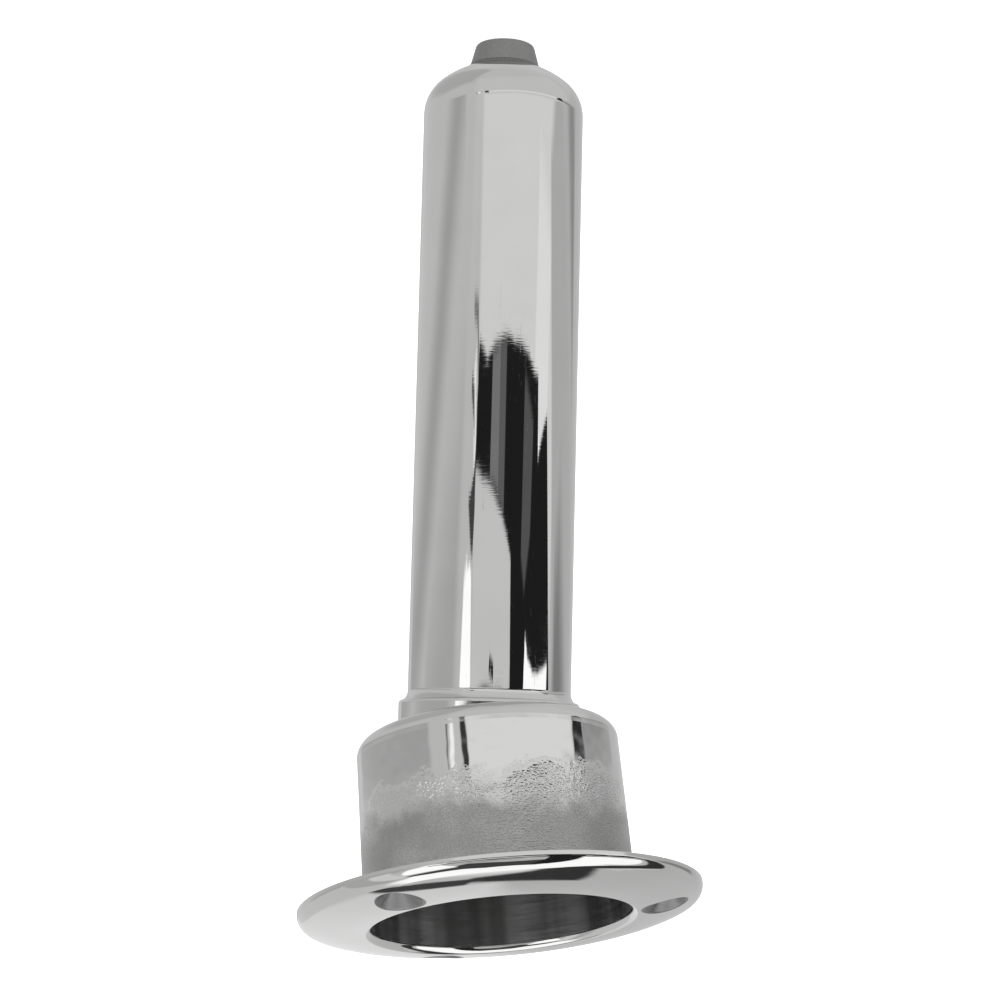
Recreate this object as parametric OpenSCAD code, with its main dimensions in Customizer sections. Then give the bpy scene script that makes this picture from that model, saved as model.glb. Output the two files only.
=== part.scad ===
// Flush-mount combination rod and cup holder, stainless steel.
// Frame: +Z points up out of the cup's mouth. The origin is the centre of the
// flange's underside, on the deck. The rod tube hangs down and leans to -X, so
// a rod in it leans to +X. The object is symmetric about the XZ plane.

/* [Flange] */
// Outside diameter of the mounting flange
flange_d = 120.6; // [116:0.2:126]
// Height of the flange's crown above the deck
flange_h = 7.8; // [7.2:0.1:9]
// Height of the flange's upright rim
rim_h = 1; // [0.6:0.1:1.6]
// Radius of the arc that rolls the crown over into the rim
rim_roll_r = 4; // [2:0.5:4.5]
// Radius of the lip round the cup's mouth
lip_r = 2.2; // [1.4:0.1:2.6]
// Width of the level band between the lip and the falling crown
lip_land = 1; // [0.4:0.1:2]
// Depth of the recess under the flange that the cup's barrel seats in
recess_h = 1; // [0.5:0.1:2]
// Leg of the fillet weld in that recess, round the barrel
flange_weld_leg = 2.5; // [1.5:0.1:4]

/* [Deck screws] */
// Diameter of the circle that the screw holes lie on
screw_circle_d = 99; // [97:0.5:102]
// Number of screw holes
screw_count = 3; // [3:1:6]
// Diameter of the clearance hole for a screw
screw_hole_d = 6.6; // [5:0.1:7.5]
// Diameter of the countersink where it meets the crown
countersink_d = 14; // [11:0.1:15]

/* [Cup] */
// Diameter of the cup's mouth
mouth_d = 77.1; // [75:0.1:78]
// Thickness of the cup's barrel and floor
cup_wall = 2; // [1.5:0.1:3]
// Depth from the deck to the underside of the cup's floor
cup_depth = 50.5; // [48:0.5:54]
// How much the barrel's radius shrinks on its way down
barrel_draft = 0.9; // [0:0.1:1.2]
// Outside radius of the rounded shoulder under the cup
shoulder_r = 5; // [4:0.5:7]
// Width of the weld seam between the barrel and the floor
cup_seam_w = 1.2; // [0.8:0.1:2]

/* [Rod tube] */
// Angle between the rod tube and the upright
tube_tilt = 15; // [5:1:18]
// Outside diameter of the rod tube
tube_d = 49.6; // [47:0.1:50.8]
// Wall thickness of the rod tube and its end dome
tube_wall = 2; // [1.5:0.1:3]
// Depth below the deck where the tube's axis crosses the cup's axis
tube_cross_depth = 45; // [42:0.5:47]
// Distance along the axis from that crossing to the end of the tube
tube_reach = 196.2; // [150:1:230]

/* [Socket sleeve] */
// Outside diameter of the sleeve round the tube under the cup
socket_d = 55; // [53:0.1:56]
// Distance along the axis from the crossing to the sleeve's lower face
socket_reach = 15.5; // [14.5:0.1:18]
// Radius of the sleeve's lower edge
socket_edge_r = 1.2; // [0.6:0.1:1.6]
// Height of the concave fillet weld between the sleeve and the tube
socket_weld_h = 3; // [1.5:0.1:4]
// Width of that fillet weld
socket_weld_w = 1.3; // [0.6:0.1:1.5]

/* [End dome and drain] */
// Height of the end dome
dome_h = 17.1; // [15.5:0.1:20]
// Radius of the dome's knuckle
dome_knuckle_r = 13; // [10:0.5:14]
// Width of the weld seam between the tube and the dome
dome_seam_w = 1.2; // [0.8:0.1:2]
// How far the root of that seam stands into the tube
dome_seam_root = 0.4; // [0.2:0.1:0.8]
// Height of the drain boss from its seat to its tip
boss_h = 6.9; // [5:0.1:10]
// Diameter of the drain boss at its seat
boss_seat_d = 21.5; // [19:0.1:23]
// Diameter of the drain boss at its tip
boss_tip_d = 17.8; // [17:0.1:18.8]
// Radius of the edge round the boss's tip
boss_edge_r = 1.6; // [0.8:0.1:2]
// Diameter of the drain hole
drain_d = 12; // [8:0.1:13]
// Leg of the fillet weld round the boss
boss_weld_leg = 0.8; // [0.4:0.1:1.2]

/* [Gimbal pin] */
// Diameter of the cross pin that stops a rod from turning
pin_d = 6; // [4:0.1:8]
// Distance from the dome's open edge down to the pin's axis
pin_depth = 5; // [4:0.1:7]
// Length of the tack weld at each end of the pin
pin_tack_l = 2; // [1.2:0.1:3]
// Thickness of that tack weld
pin_tack_t = 1.2; // [0.6:0.1:2]

/* [Hidden] */
$fn = 128;
overcut = 1;
polished = [0.78, 0.78, 0.77];
cast_skin = [0.6, 0.6, 0.59];
bead = [0.7, 0.69, 0.66];

mouth_r = mouth_d / 2;
crown_start_r = mouth_r + lip_r + lip_land;
crown_reach = flange_d / 2 - crown_start_r;
barrel_top_r = mouth_r + cup_wall;
barrel_foot_r = barrel_top_r - barrel_draft;
barrel_foot_z = -(cup_depth - shoulder_r);
floor_top_z = -(cup_depth - cup_wall);
tube_r = tube_d / 2;
tube_inner_r = tube_r - tube_wall;
recess_r = barrel_top_r + flange_weld_leg + 0.2;
socket_r = socket_d / 2;
dome_z = -(tube_reach + dome_seam_w);
boss_seat_r = boss_seat_d / 2;
boss_tip_r = boss_tip_d / 2;
dome_crown_r = cap_crown_radius(tube_r, dome_h, dome_knuckle_r);
boss_seat_z = dome_z - cap_height_at(boss_seat_r, dome_h, dome_crown_r) - boss_weld_leg;
boss_tip_z = boss_seat_z - boss_h;

// A cap's outline is a wide crown arc that runs into a tight edge arc. This is the
// radius of the crown arc that touches the edge arc.
function cap_crown_radius(reach, height, edge_r) =
    (pow(reach - edge_r, 2) + pow(height, 2) - pow(edge_r, 2)) / (2 * (height - edge_r));

// Height of the crown arc at a distance x from the cap's middle
function cap_height_at(x, height, crown_r) =
    height - crown_r + sqrt(pow(crown_r, 2) - pow(x, 2));

// Inside radius of the dome at a distance below its open edge
function dome_wall_r(depth) =
    tube_r - dome_knuckle_r + sqrt(pow(dome_knuckle_r - tube_wall, 2) - pow(depth, 2));

// Quarter outline of a cap: it is level at x = 0 and upright at x = reach
module cap_profile(reach, height, edge_r) {
    crown_r = cap_crown_radius(reach, height, edge_r);
    join_x = (reach - edge_r) * crown_r / (crown_r - edge_r);
    intersection() {
        translate([0, height - crown_r]) circle(crown_r);
        square([join_x, height]);
    }
    intersection() {
        translate([reach - edge_r, 0]) circle(edge_r);
        square([reach, edge_r]);
    }
}

// Puts its children on the rod tube's axis, with z = 0 where the axes cross
module on_tube_axis() {
    translate([0, 0, -tube_cross_depth]) rotate([0, tube_tilt, 0]) children();
}

// Everything below a level
module below(level) {
    span = 400;
    translate([-span / 2, -span / 2, level - span]) cube(span);
}

// A ring between two radii, from z_low up to z_high
module ring(outer_r, inner_r, z_low, z_high) {
    difference() {
        translate([0, 0, z_low]) cylinder(r = outer_r, h = z_high - z_low);
        translate([0, 0, z_low - overcut]) cylinder(r = inner_r, h = z_high - z_low + 2 * overcut);
    }
}

module flange_profile() {
    difference() {
        union() {
            translate([crown_start_r, rim_h]) cap_profile(crown_reach, flange_h - rim_h, rim_roll_r);
            translate([mouth_r, 0]) square([crown_start_r - mouth_r, flange_h]);
            translate([mouth_r, 0]) square([flange_d / 2 - mouth_r, rim_h]);
        }
        translate([mouth_r, flange_h - lip_r]) square(lip_r);
        square([recess_r, recess_h]);
    }
    translate([mouth_r + lip_r, flange_h - lip_r]) circle(lip_r);
}

module screw_hole() {
    sink_depth = (countersink_d - screw_hole_d) / 2;
    crown_z = rim_h + cap_height_at(screw_circle_d / 2 - crown_start_r, flange_h - rim_h,
        cap_crown_radius(crown_reach, flange_h - rim_h, rim_roll_r));
    translate([0, 0, -overcut]) cylinder(d = screw_hole_d, h = flange_h + 2 * overcut);
    translate([0, 0, crown_z - sink_depth])
        cylinder(d1 = screw_hole_d, d2 = countersink_d + 2 * overcut, h = sink_depth + overcut);
}

module mounting_flange() {
    color(polished) difference() {
        rotate_extrude() flange_profile();
        for (i = [0 : screw_count - 1])
            rotate([0, 0, i * 360 / screw_count]) translate([screw_circle_d / 2, 0, 0]) screw_hole();
    }
}

// Fillet in the corner between the recess and the barrel
module flange_weld() {
    slope = barrel_draft / (recess_h - barrel_foot_z - cup_seam_w);
    foot_r = barrel_top_r - slope * flange_weld_leg;
    color(bead) translate([0, 0, recess_h]) rotate_extrude()
        polygon([[barrel_top_r, 0], [barrel_top_r + flange_weld_leg, 0], [foot_r, -flange_weld_leg]]);
}

module cup_barrel() {
    foot_z = barrel_foot_z + cup_seam_w;
    height = recess_h - foot_z;
    color(cast_skin) translate([0, 0, foot_z]) difference() {
        cylinder(r1 = barrel_foot_r, r2 = barrel_top_r, h = height);
        cylinder(r1 = barrel_foot_r - cup_wall, r2 = barrel_top_r - cup_wall, h = height);
    }
}

module cup_seam_weld() {
    color(bead) ring(barrel_foot_r, barrel_foot_r - cup_wall, barrel_foot_z, barrel_foot_z + cup_seam_w);
}

// Half outline of the cup's floor, a shallow pan with a rounded shoulder
module floor_profile() {
    corner_r = barrel_foot_r - shoulder_r;
    translate([0, -cup_depth]) square([corner_r, cup_wall]);
    intersection() {
        difference() {
            translate([corner_r, barrel_foot_z]) circle(shoulder_r);
            translate([corner_r, barrel_foot_z]) circle(shoulder_r - cup_wall);
        }
        translate([corner_r, -cup_depth]) square(shoulder_r);
    }
}

module cup_floor() {
    color(polished) difference() {
        rotate_extrude() floor_profile();
        on_tube_axis() translate([0, 0, -socket_reach]) cylinder(r = socket_r, h = 2 * socket_reach);
    }
}

// Half outline of the sleeve, with a rounded lower edge
module socket_profile() {
    difference() {
        translate([tube_r, -socket_reach]) square([socket_r - tube_r, socket_reach + cup_depth]);
        translate([socket_r - socket_edge_r, -socket_reach]) square(socket_edge_r);
    }
    translate([socket_r - socket_edge_r, -socket_reach + socket_edge_r]) circle(socket_edge_r);
}

module tube_socket() {
    color(polished) intersection() {
        on_tube_axis() rotate_extrude() socket_profile();
        below(floor_top_z);
    }
}

// Concave fillet: a rectangle with a round bite out of its outer lower corner
module socket_weld() {
    bite_r = (pow(socket_weld_w, 2) + pow(socket_weld_h, 2)) / (2 * socket_weld_w);
    color(polished) on_tube_axis() rotate_extrude() difference() {
        translate([tube_r, -socket_reach - socket_weld_h]) square([socket_weld_w, socket_weld_h]);
        translate([tube_r + bite_r, -socket_reach - socket_weld_h]) circle(bite_r);
    }
}

module rod_tube() {
    color(polished) intersection() {
        on_tube_axis() ring(tube_r, tube_inner_r, -tube_reach, tube_cross_depth);
        below(floor_top_z);
    }
}

// The space inside the dome
module dome_hollow() {
    translate([0, 0, dome_z]) rotate([180, 0, 0]) rotate_extrude()
        cap_profile(tube_inner_r, dome_h - tube_wall, dome_knuckle_r - tube_wall);
}

// A bar across the dome, on the pin's axis
module cross_bar(d, length) {
    translate([0, length / 2, dome_z - pin_depth]) rotate([90, 0, 0]) cylinder(d = d, h = length);
}

// The pin's ends are cut to the dome's inner wall
module gimbal_pin() {
    color(cast_skin) on_tube_axis() intersection() {
        cross_bar(pin_d, tube_d);
        dome_hollow();
    }
}

// A collar of weld at each end of the pin, against the dome's inner wall
module pin_tack_welds() {
    wall_r = dome_wall_r(pin_depth);
    color(bead) on_tube_axis() intersection() {
        difference() {
            cross_bar(pin_d + 2 * pin_tack_t, tube_d);
            cross_bar(pin_d, tube_d + 2 * overcut);
            cross_bar(2 * pin_d, 2 * (wall_r - pin_tack_l));
        }
        dome_hollow();
    }
}

// Flush butt seam with a root that stands into the tube
module dome_seam_weld() {
    color(bead) on_tube_axis()
        ring(tube_r, tube_inner_r - dome_seam_root, dome_z, -tube_reach);
}

module end_dome() {
    color(polished) on_tube_axis() difference() {
        dome_solid();
        dome_hollow();
        translate([0, 0, boss_tip_z]) cylinder(d = drain_d, h = boss_h + dome_h);
    }
}

// The dome's outer shape, without its hollow
module dome_solid() {
    translate([0, 0, dome_z]) rotate([180, 0, 0]) rotate_extrude()
        cap_profile(tube_r, dome_h, dome_knuckle_r);
}

// Three-sided bead in the corner between the dome and the boss
module boss_weld() {
    foot_r = boss_seat_r + boss_weld_leg;
    seat_h = cap_height_at(boss_seat_r, dome_h, dome_crown_r);
    foot_h = cap_height_at(foot_r, dome_h, dome_crown_r);
    color(bead) on_tube_axis() translate([0, 0, dome_z]) rotate([180, 0, 0]) rotate_extrude()
        polygon([[boss_seat_r, seat_h], [foot_r, foot_h], [boss_seat_r, seat_h + boss_weld_leg]]);
}

// Half outline of the boss. Its tapered side runs into a rounded tip.
module boss_profile() {
    taper = atan2(boss_seat_r - boss_tip_r, boss_h);
    edge_x = boss_tip_r + boss_edge_r * (tan(taper) - 1 / cos(taper));
    polygon([[drain_d / 2, 0], [edge_x, 0],
             [edge_x + boss_edge_r * cos(taper), boss_edge_r * (1 - sin(taper))],
             [boss_seat_r, boss_h], [boss_seat_r, 3 * boss_h], [drain_d / 2, 3 * boss_h]]);
    intersection() {
        translate([edge_x, boss_edge_r]) circle(boss_edge_r);
        translate([edge_x, 0]) square(boss_edge_r);
    }
}

module drain_boss() {
    color(cast_skin) on_tube_axis() difference() {
        translate([0, 0, boss_tip_z]) rotate_extrude() boss_profile();
        dome_solid();
        translate([0, 0, dome_z]) cylinder(r = tube_r, h = tube_reach);
    }
}

mounting_flange();
flange_weld();
cup_barrel();
cup_seam_weld();
cup_floor();
tube_socket();
socket_weld();
rod_tube();
gimbal_pin();
pin_tack_welds();
dome_seam_weld();
end_dome();
boss_weld();
drain_boss();
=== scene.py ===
"""Looks of a flush-mount rod and cup holder: polished and cast stainless steel in a light tent.

Lengths are in metres, in the frame's axes: +Z points up out of the cup's mouth, and the rod tube hangs
down and leans to -X. Pieces on the rod tube are modelled in the tube's own axes, with z along the tube.
"""
import math

import bpy
import numpy as np
from mathutils import Matrix, Vector


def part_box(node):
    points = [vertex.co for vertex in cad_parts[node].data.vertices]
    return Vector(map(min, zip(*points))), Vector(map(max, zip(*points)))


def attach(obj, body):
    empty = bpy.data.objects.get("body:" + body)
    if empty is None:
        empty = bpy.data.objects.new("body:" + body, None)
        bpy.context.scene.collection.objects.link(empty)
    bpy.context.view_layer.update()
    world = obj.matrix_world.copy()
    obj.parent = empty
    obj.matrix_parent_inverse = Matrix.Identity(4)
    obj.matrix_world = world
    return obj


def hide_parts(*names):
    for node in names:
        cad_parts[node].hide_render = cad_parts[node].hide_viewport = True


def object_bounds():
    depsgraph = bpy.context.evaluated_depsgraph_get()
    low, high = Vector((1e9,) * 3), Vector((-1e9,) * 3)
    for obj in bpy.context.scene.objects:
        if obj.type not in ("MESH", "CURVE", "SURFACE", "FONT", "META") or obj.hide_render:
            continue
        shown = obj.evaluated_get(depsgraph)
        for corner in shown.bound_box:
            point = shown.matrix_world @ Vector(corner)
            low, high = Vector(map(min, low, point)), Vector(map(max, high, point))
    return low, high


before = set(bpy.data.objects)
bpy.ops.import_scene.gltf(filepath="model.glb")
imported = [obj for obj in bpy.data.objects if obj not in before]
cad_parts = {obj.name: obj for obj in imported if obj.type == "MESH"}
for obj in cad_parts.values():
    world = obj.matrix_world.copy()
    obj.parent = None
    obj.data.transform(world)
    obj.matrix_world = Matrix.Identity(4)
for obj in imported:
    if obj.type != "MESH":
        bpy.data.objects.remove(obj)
CAD_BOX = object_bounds()

MM = 0.001
SIDES = 360

# Flange
FLANGE_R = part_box("mounting_flange")[1].x
CROWN_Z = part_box("mounting_flange")[1].z
RIM_Z = 1.0 * MM
RIM_FOOT_R = 0.3 * MM
RIM_ROLL_R = 4.0 * MM
LIP_R = 2.2 * MM
LIP_LAND = 1.0 * MM
RECESS_R = 43.25 * MM
RECESS_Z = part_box("cup_barrel")[1].z
SCREW_CIRCLE_R = 49.5 * MM
SCREW_R = 3.3 * MM
SINK_R = 7.0 * MM
SINK_ROUND = 0.45 * MM
SINK_PASSES = 30
SCREW_COUNT = 3

# Cup
WALL = 2.0 * MM
BARREL_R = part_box("cup_barrel")[1].x
MOUTH_R = BARREL_R - WALL
FOOT_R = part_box("cup_seam_weld")[1].x
SEAM_TOP_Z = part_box("cup_seam_weld")[1].z
SHOULDER_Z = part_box("cup_seam_weld")[0].z
FLOOR_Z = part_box("cup_floor")[0].z
SHOULDER_R = 5.0 * MM
WELD_LEG = 2.5 * MM
WELD_BITE = 0.05 * MM
WELD_RIPPLES = 96

# Rod tube, in its own axes
TILT = math.radians(15)
CROSS_Z = -45.0 * MM
TUBE_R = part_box("rod_tube")[1].y
BORE_R = TUBE_R - WALL
TUBE_END = -196.2 * MM
SEAM_W = 1.2 * MM
SOCKET_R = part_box("tube_socket")[1].y
SOCKET_END = -15.5 * MM
SOCKET_EDGE_R = 1.2 * MM
FILLET_H = 3.0 * MM
FILLET_W = 1.3 * MM

# End dome and drain boss, in the tube's axes
DOME_TOP = TUBE_END - SEAM_W
DOME_H = 17.1 * MM
KNUCKLE_R = 13.0 * MM
DRAIN_R = 6.0 * MM
BOSS_SEAT_R = 10.75 * MM
BOSS_TIP_R = 8.9 * MM
BOSS_H = 6.9 * MM
BOSS_EDGE_R = 1.6 * MM
BOSS_WELD = 0.8 * MM
BOSS_WELD_RISE = 0.12 * MM
BOSS_WELD_RIPPLES = 60
PIN_R = 3.0 * MM
PIN_DEPTH = 5.0 * MM
TACK_T = 1.2 * MM
TACK_L = 2.0 * MM

TUBE_AXES = Matrix.Translation((0, 0, CROSS_Z)) @ Matrix.Rotation(TILT, 4, "Y")
ROW_AXES = Matrix.Identity(4)

# Camera
FOCUS = Vector((-0.0422, -0.0085, -0.1104))
CAMERA_AZIMUTH = math.radians(205.32)
CAMERA_ELEVATION = math.radians(20.75)
CAMERA_ROLL = math.radians(174.99)
CAMERA_DISTANCE = 0.8007
CAMERA_LENS = 97.2

# Light tent
TENT_CENTRE = Vector((-0.03, 0, -0.12))
TENT_R = 1.2
TENT_FOOT_R = 4.0
TENT_FOOT_START = -9
TENT_FOOT_SPREAD = 6
FLOOR_HALF = 3.0
FLOOR_GAP = 0.5 * MM


def make_camera():
    """A camera at the photograph's viewing angle. The holder hangs mouth down in its picture."""
    back = Vector((math.cos(CAMERA_ELEVATION) * math.cos(CAMERA_AZIMUTH),
                   math.cos(CAMERA_ELEVATION) * math.sin(CAMERA_AZIMUTH),
                   math.sin(CAMERA_ELEVATION)))
    right = Vector((0, 0, 1)).cross(back).normalized()
    up = back.cross(right)
    upright = Matrix((right, up, back)).transposed().to_4x4()
    camera = bpy.data.objects.new("camera", bpy.data.cameras.new("camera"))
    camera.data.lens = CAMERA_LENS
    camera.data.clip_start = 0.05
    camera.data.clip_end = 20
    turned = upright @ Matrix.Rotation(CAMERA_ROLL, 4, "Z")
    camera.matrix_world = Matrix.Translation(FOCUS + back * CAMERA_DISTANCE) @ turned
    bpy.context.scene.collection.objects.link(camera)
    bpy.context.scene.camera = camera


# ---------------------------------------------------------------- outlines


def line(start, end, steps=1):
    """A straight stretch of an outline. The metal is on the right of its direction."""
    share = np.linspace(0, 1, steps + 1)[:, None]
    points = np.array(start) * (1 - share) + np.array(end) * share
    along = np.subtract(end, start) / math.hypot(end[0] - start[0], end[1] - start[1])
    normals = np.tile([-along[1], along[0]], (steps + 1, 1))
    return points, normals


def arc(centre, radius, start, end, steps=24, hollow=False):
    """A round stretch of an outline, between two angles in degrees. A hollow one faces its centre."""
    angle = np.radians(np.linspace(start, end, steps + 1))
    spoke = np.stack([np.cos(angle), np.sin(angle)], axis=1)
    return np.array(centre) + radius * spoke, spoke * (-1 if hollow else 1)


def curved(start, corner, end, start_normal, end_normal, steps=6):
    """Rows of points and normals that round off a corner between two rows."""
    rows = []
    for share in np.linspace(0, 1, steps + 1):
        point = (1 - share) ** 2 * start + 2 * share * (1 - share) * corner + share ** 2 * end
        normal = (1 - share) * start_normal + share * end_normal
        rows.append((point, normal / np.linalg.norm(normal, axis=1)[:, None]))
    return rows


def cap_radius(reach, height, edge_r):
    """Radius of a cap's crown arc, which touches its edge arc."""
    return ((reach - edge_r) ** 2 + height ** 2 - edge_r ** 2) / (2 * (height - edge_r))


# ---------------------------------------------------------------- meshes


TURN = np.linspace(0, 2 * math.pi, SIDES + 1)


def ring(radius, height, normal):
    """A row round the z axis. Each of radius and height is a number or one per side."""
    radius = np.broadcast_to(radius, TURN.shape)
    height = np.broadcast_to(height, TURN.shape)
    points = np.stack([radius * np.cos(TURN), radius * np.sin(TURN), height], axis=1)
    facing = [normal[0] * np.cos(TURN), normal[0] * np.sin(TURN), np.full(TURN.shape, normal[1])]
    return points, np.stack(facing, axis=1)


def flat_row(points, direction):
    """A row of points that all face one direction."""
    return points, np.tile(direction, (len(points), 1))


class Shell:
    """Collects four-sided faces with the true normal at each corner, and joins them into a mesh."""

    def __init__(self):
        self.corners = []
        self.normals = []
        self.slots = []

    def band(self, first, second, keep=None, slot=0):
        """Faces between two matching rows. keep says which of them are made."""
        (p, n), (q, m) = first, second
        corners = np.stack([p[:-1], p[1:], q[1:], q[:-1]], axis=1)
        normals = np.stack([n[:-1], n[1:], m[1:], m[:-1]], axis=1)
        if keep is not None:
            corners = corners[keep]
            normals = normals[keep]
        self.corners.append(corners)
        self.normals.append(normals)
        self.slots += [slot] * len(corners)

    def rows(self, rows, keep=None, slot=0):
        """Faces between each row and the next."""
        for first, second in zip(rows, rows[1:]):
            self.band(first, second, keep, slot)

    def revolve(self, outline, keep=None, slot=0):
        """Faces round the z axis from an outline's stretches."""
        for points, normals in outline:
            self.rows([ring(p[0], p[1], n) for p, n in zip(points, normals)], keep, slot)

    def piece(self, name, axes, materials, node):
        """Joins the corners that meet, and makes the piece that stands for a CAD node."""
        corners = np.concatenate(self.corners)
        normals = np.concatenate(self.normals)
        across = np.cross(corners[:, 2] - corners[:, 0], corners[:, 3] - corners[:, 1])
        inward = (across * normals.sum(axis=1)).sum(axis=1) < 0
        corners[inward] = corners[inward][:, ::-1]
        normals[inward] = normals[inward][:, ::-1]
        spin = np.array(axes.to_3x3())
        normals = normals @ spin.T
        flat = corners.reshape(-1, 3) @ spin.T + np.array(axes.translation)
        _, first, index = np.unique(np.floor(flat / 1e-7 + 0.37).astype(np.int64), axis=0,
                                    return_index=True, return_inverse=True)
        faces = []
        facing = []
        kept = []
        for face, face_normals, face_slot in zip(index.reshape(-1, 4).tolist(), normals, self.slots):
            used = [i for i in range(4) if face[i] != face[i - 1]]
            if len(used) > 2:
                faces.append([face[i] for i in used])
                facing.extend(face_normals[used])
                kept.append(face_slot)
        mesh = bpy.data.meshes.new(name)
        mesh.from_pydata(flat[first].tolist(), [], faces)
        mesh.polygons.foreach_set("use_smooth", [True] * len(faces))
        mesh.polygons.foreach_set("material_index", kept)
        mesh.normals_split_custom_set(np.array(facing).tolist())
        for material in materials:
            mesh.materials.append(material)
        made = bpy.data.objects.new(name, mesh)
        bpy.context.scene.collection.objects.link(made)
        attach(made, "root")
        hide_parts(node)
        return made


# ---------------------------------------------------------------- flange


CROWN_START = MOUTH_R + LIP_R + LIP_LAND
CROWN_ARC_R = cap_radius(FLANGE_R - CROWN_START, CROWN_Z - RIM_Z, RIM_ROLL_R)
ROLL_X = FLANGE_R - RIM_ROLL_R
CROWN_ARC_Z = CROWN_Z - CROWN_ARC_R
ROLL_ANGLE = math.degrees(math.atan2(RIM_Z - CROWN_ARC_Z, ROLL_X - CROWN_START))
ROLL_START = CROWN_START + CROWN_ARC_R * math.cos(math.radians(ROLL_ANGLE))
PATCH_START = MOUTH_R + LIP_R + 0.25 * MM
PATCH_HALF = 11
PATCH_STEPS = 24


def crown_at(plan):
    """Points on the flange's crown above points in plan, and the normals there."""
    radius = np.linalg.norm(plan, axis=1)
    x = np.maximum(radius - CROWN_START, 0)
    lift = np.sqrt(CROWN_ARC_R ** 2 - x ** 2)
    outward = plan / radius[:, None] * (x / CROWN_ARC_R)[:, None]
    points = np.column_stack([plan, CROWN_ARC_Z + lift])
    return points, np.column_stack([outward, lift / CROWN_ARC_R])


def sector_edge(near, far):
    """The closed edge in plan of the sector round the screw hole on +X."""
    swing = np.radians(np.arange(-PATCH_HALF, PATCH_HALF + 1) * 360 / SIDES)
    reach = np.linspace(near, far, PATCH_STEPS + 1)
    near_arc = near * np.stack([np.cos(swing), np.sin(swing)], axis=1)
    far_arc = far * np.stack([np.cos(swing), np.sin(swing)], axis=1)
    left = reach[:, None] * np.array([math.cos(swing[-1]), math.sin(swing[-1])])
    right = reach[:, None] * np.array([math.cos(swing[0]), math.sin(swing[0])])
    return np.concatenate([near_arc, left[1:], far_arc[::-1][1:], right[::-1][1:]])


def hole_rows():
    """Rows from the sector's edge on the crown, down a countersunk hole, to the sector's edge below."""
    hub = np.array([SCREW_CIRCLE_R, 0])
    edge = sector_edge(PATCH_START, ROLL_START)
    spoke = (edge - hub) / np.linalg.norm(edge - hub, axis=1)[:, None]
    sink_top = crown_at(hub[None])[0][0, 2]
    mouth = np.full(len(edge), SINK_R)
    for _ in range(SINK_PASSES):
        mouth = SINK_R + crown_at(hub + spoke * mouth[:, None])[0][:, 2] - sink_top
    rim = hub + spoke * (mouth + SINK_ROUND)[:, None]
    crown = [crown_at(edge * (1 - s) + rim * s) for s in np.linspace(0, 1, 13)]

    def sink(radius):
        radius = np.broadcast_to(radius, mouth.shape)
        return np.column_stack([hub + spoke * radius[:, None], sink_top + radius - SINK_R])

    slope = np.column_stack([-spoke, np.ones(len(edge))]) / math.sqrt(2)
    lip = curved(crown[-1][0], sink(mouth), sink(mouth - SINK_ROUND), crown[-1][1], slope)
    neck = SCREW_R + 0.2 * MM
    cone = [(sink(mouth - SINK_ROUND) * (1 - s) + sink(neck) * s, slope) for s in np.linspace(0, 1, 9)]
    wall = np.column_stack([-spoke, np.zeros(len(edge))])
    bore_top = np.column_stack([hub + spoke * SCREW_R, np.full(len(edge), sink(SCREW_R)[0, 2] - 0.2 * MM)])
    corner = curved(sink(neck), sink(SCREW_R), bore_top, slope, wall, 4)
    foot = np.column_stack([hub + spoke * SCREW_R, np.zeros(len(edge))])
    below = np.column_stack([sector_edge(RECESS_R, ROLL_START), np.zeros(len(edge))])
    under = [flat_row(foot * (1 - s) + below * s, (0, 0, -1)) for s in np.linspace(0, 1, 5)]
    return crown, lip + cone[1:] + corner[1:] + [(foot, wall)], under


def turned(row, angle):
    """A row turned about the z axis."""
    spin = np.array(Matrix.Rotation(angle, 3, "Z"))
    return row[0] @ spin.T, row[1] @ spin.T


def make_flange(steel, sink_painted_shade_steel, bore_painted_shade_steel):
    shell = Shell()
    plain = np.ones(SIDES, bool)
    for hole in range(SCREW_COUNT):
        middle = hole * SIDES // SCREW_COUNT
        plain[np.arange(middle - PATCH_HALF, middle + PATCH_HALF) % SIDES] = False
    shell.revolve([line((MOUTH_R, RECESS_Z), (MOUTH_R, CROWN_Z - LIP_R), 4)], slot=2)
    shell.revolve([
        arc((MOUTH_R + LIP_R, CROWN_Z - LIP_R), LIP_R, 180, 90),
        line((MOUTH_R + LIP_R, CROWN_Z), (PATCH_START, CROWN_Z)),
    ])
    reach = np.linspace(PATCH_START, ROLL_START, PATCH_STEPS + 1)
    plan = np.stack([np.cos(TURN), np.sin(TURN)], axis=1)
    shell.rows([crown_at(plan * radius) for radius in reach], plain)
    shell.revolve([
        arc((ROLL_X, RIM_Z), RIM_ROLL_R, ROLL_ANGLE, 0),
        line((FLANGE_R, RIM_Z), (FLANGE_R, RIM_FOOT_R)),
        arc((FLANGE_R - RIM_FOOT_R, RIM_FOOT_R), RIM_FOOT_R, 0, -90, 6),
        line((FLANGE_R - RIM_FOOT_R, 0), (ROLL_START, 0)),
        line((RECESS_R, 0), (RECESS_R, RECESS_Z)),
        line((RECESS_R, RECESS_Z), (MOUTH_R, RECESS_Z)),
    ])
    reach = np.linspace(ROLL_START, RECESS_R, PATCH_STEPS + 1)
    shell.rows([ring(radius, 0, (0, -1)) for radius in reach], plain)
    crown, hole, under = hole_rows()
    for number in range(SCREW_COUNT):
        angle = number * 2 * math.pi / SCREW_COUNT
        shell.rows([turned(row, angle) for row in crown])
        # The screw holes take the second material, whose dark greys are painted shade.
        shell.rows([turned(row, angle) for row in hole], slot=1)
        shell.rows([turned(row, angle) for row in under])
    shell.piece("flange", ROW_AXES, [steel, sink_painted_shade_steel, bore_painted_shade_steel], "mounting_flange")


# ---------------------------------------------------------------- cup


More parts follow.
